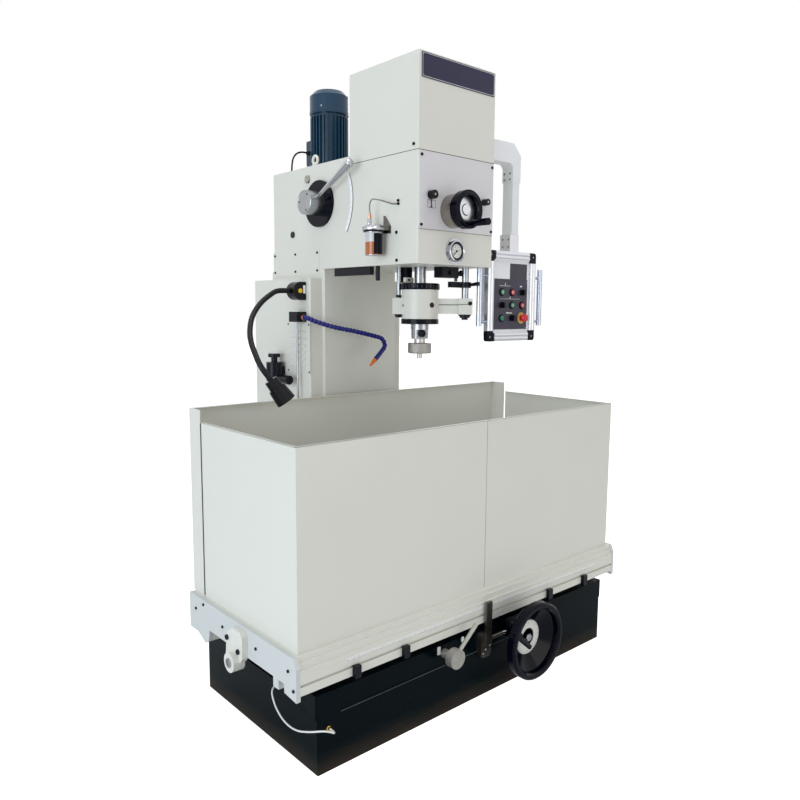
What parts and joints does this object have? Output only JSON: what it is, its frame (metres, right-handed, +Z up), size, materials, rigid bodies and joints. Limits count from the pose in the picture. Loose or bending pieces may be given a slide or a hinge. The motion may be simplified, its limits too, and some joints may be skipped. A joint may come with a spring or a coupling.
{
  "type": "cylinder honing machine",
  "caption": "Vertical honing machine: box base with a sliding table and splash tray, column, overhung head with spindle, motor, lamp, coolant hose and hanging control box.",
  "frame": {"origin": "centre of the base's underside on the floor, straight below the spindle axis", "axes": "+X along the table's travel, +Y from the operator to the column, +Z up"},
  "size_m": [1.796, 1.405, 2.487],
  "materials": {
    "base_paint": "gloss",
    "body_paint": "satin",
    "machined_steel": "ground",
    "chrome": "polished",
    "motor_paint": "satin",
    "black_plastic": "gloss",
    "black_metal": "satin",
    "aluminium": "satin",
    "panel_dark": "matt",
    "amber_glass": "gloss",
    "blue_plastic": "gloss",
    "orange_plastic": "gloss",
    "white_plastic": "gloss",
    "green_plastic": "gloss",
    "red_plastic": "gloss"
  },
  "bodies": {
    "frame": {"base": "base_paint", "column": "body_paint", "side_cabinets": "body_paint", "cabinet_vent": "body_paint", "head_casting": "body_paint", "head_cover": "body_paint", "head_front_plate": "body_paint", "lifting_eye": "body_paint", "motor": "motor_paint", "motor_cable": "black_plastic", "lever_dial": "black_plastic", "knobs_and_plugs": "black_plastic", "pressure_gauge": "black_plastic", "lamp_base": "black_plastic", "lamp_neck": "black_plastic", "lamp_head": "black_plastic", "coolant_block": "black_plastic", "air_regulator": "black_plastic", "underside_fittings": "black_plastic", "oil_cup_cap": "chrome", "oil_cup_jar": "amber_glass", "feed_drum": "machined_steel", "index_bracket": "machined_steel", "pendant_arm": "aluminium", "coolant_hose": "blue_plastic", "coolant_nozzle": "orange_plastic", "oil_tube": "white_plastic", "coolant_pipe": "machined_steel"},
    "table": {"table": "body_paint", "table_end_plates": "body_paint", "tray_walls": "body_paint", "tray_back_wall": "body_paint", "table_stops": "black_metal", "end_bracket": "body_paint"},
    "spindle": {"spline_shaft": "machined_steel", "spindle_nose": "machined_steel", "hone_driver": "machined_steel"},
    "spindle_carriage": {"spindle_carriage": "body_paint", "carriage_bands": "black_metal", "stop_dog": "black_metal", "carriage_rods": "machined_steel"},
    "table_handwheel": {"table_handwheel": "black_plastic"},
    "table_clamp_lever": {"table_clamp_lever": "chrome"},
    "feed_handwheel": {"feed_handwheel": "black_plastic"},
    "side_lever": {"side_lever": "chrome"},
    "pendant": {"pendant_frame": "aluminium", "pendant_corners": "black_plastic", "pendant_handles": "aluminium", "pendant_box": "body_paint", "pendant_panel": "panel_dark"},
    "start_button": {"start_button": "green_plastic"},
    "halt_button": {"halt_button": "red_plastic"},
    "coolant_selector": {"coolant_selector": "black_plastic"},
    "mode_selector": {"mode_selector": "black_plastic"},
    "rise_button": {"rise_button": "green_plastic"},
    "lower_button": {"lower_button": "red_plastic"},
    "lamp_button": {"lamp_button": "green_plastic"},
    "spindle_selector": {"spindle_selector": "black_plastic"},
    "stop_button": {"stop_button": "red_plastic"}
  },
  "joints": [
    {"name": "table_slide", "type": "slide", "parent": "frame", "child": "table", "axis": [1, 0, 0], "range_m": [-0.355, 0.385]},
    {"name": "carriage_slide", "type": "slide", "parent": "frame", "child": "spindle_carriage", "axis": [0, 0, 1], "range_m": [-0.35, 0]},
    {"name": "spindle_turn", "type": "hinge", "parent": "spindle_carriage", "child": "spindle", "pos_m": [0, 0, 1.4], "axis": [0, 0, 1], "continuous": true},
    {"name": "table_handwheel_turn", "type": "hinge", "parent": "frame", "child": "table_handwheel", "pos_m": [0.146, -0.45, 0.229], "axis": [0, -1, 0], "range_deg": [-1440, 1440]},
    {"name": "table_clamp_turn", "type": "hinge", "parent": "frame", "child": "table_clamp_lever", "pos_m": [-0.22, -0.44, 0.243], "axis": [0, -1, 0], "range_deg": [-40, 40]},
    {"name": "feed_handwheel_turn", "type": "hinge", "parent": "frame", "child": "feed_handwheel", "pos_m": [-0.03, -0.3, 1.878], "axis": [0, -1, 0], "continuous": true},
    {"name": "side_lever_turn", "type": "hinge", "parent": "frame", "child": "side_lever", "pos_m": [-0.243, 0.408, 1.951], "axis": [1, 0, 0], "range_deg": [-3, 59]},
    {"name": "pendant_swing", "type": "hinge", "parent": "frame", "child": "pendant", "pos_m": [0.372, -0.153, 1.822], "axis": [0, 0, 1], "range_deg": [0, 60]},
    {"name": "start_button_press", "type": "slide", "parent": "pendant", "child": "start_button", "axis": [0, 1, 0], "range_m": [0, 0.004], "stiffness_N_per_m": 200},
    {"name": "halt_button_press", "type": "slide", "parent": "pendant", "child": "halt_button", "axis": [0, 1, 0], "range_m": [0, 0.004], "stiffness_N_per_m": 200},
    {"name": "coolant_selector_turn", "type": "hinge", "parent": "pendant", "child": "coolant_selector", "pos_m": [0.436, -0.176, 1.583], "axis": [0, -1, 0], "range_deg": [-45, 45]},
    {"name": "mode_selector_turn", "type": "hinge", "parent": "pendant", "child": "mode_selector", "pos_m": [0.306, -0.176, 1.529], "axis": [0, -1, 0], "range_deg": [-45, 45]},
    {"name": "rise_button_press", "type": "slide", "parent": "pendant", "child": "rise_button", "axis": [0, 1, 0], "range_m": [0, 0.004], "stiffness_N_per_m": 200},
    {"name": "lower_button_press", "type": "slide", "parent": "pendant", "child": "lower_button", "axis": [0, 1, 0], "range_m": [0, 0.004], "stiffness_N_per_m": 200},
    {"name": "lamp_button_press", "type": "slide", "parent": "pendant", "child": "lamp_button", "axis": [0, 1, 0], "range_m": [0, 0.004], "stiffness_N_per_m": 200},
    {"name": "spindle_selector_turn", "type": "hinge", "parent": "pendant", "child": "spindle_selector", "pos_m": [0.371, -0.176, 1.475], "axis": [0, -1, 0], "range_deg": [-45, 45]},
    {"name": "stop_button_press", "type": "slide", "parent": "pendant", "child": "stop_button", "axis": [0, 1, 0], "range_m": [0, 0.004], "stiffness_N_per_m": 200}
  ],
  "couplings": [
    {"joint": "table_handwheel_turn", "follows": "table_slide", "rad_per_m": -50}
  ]
}
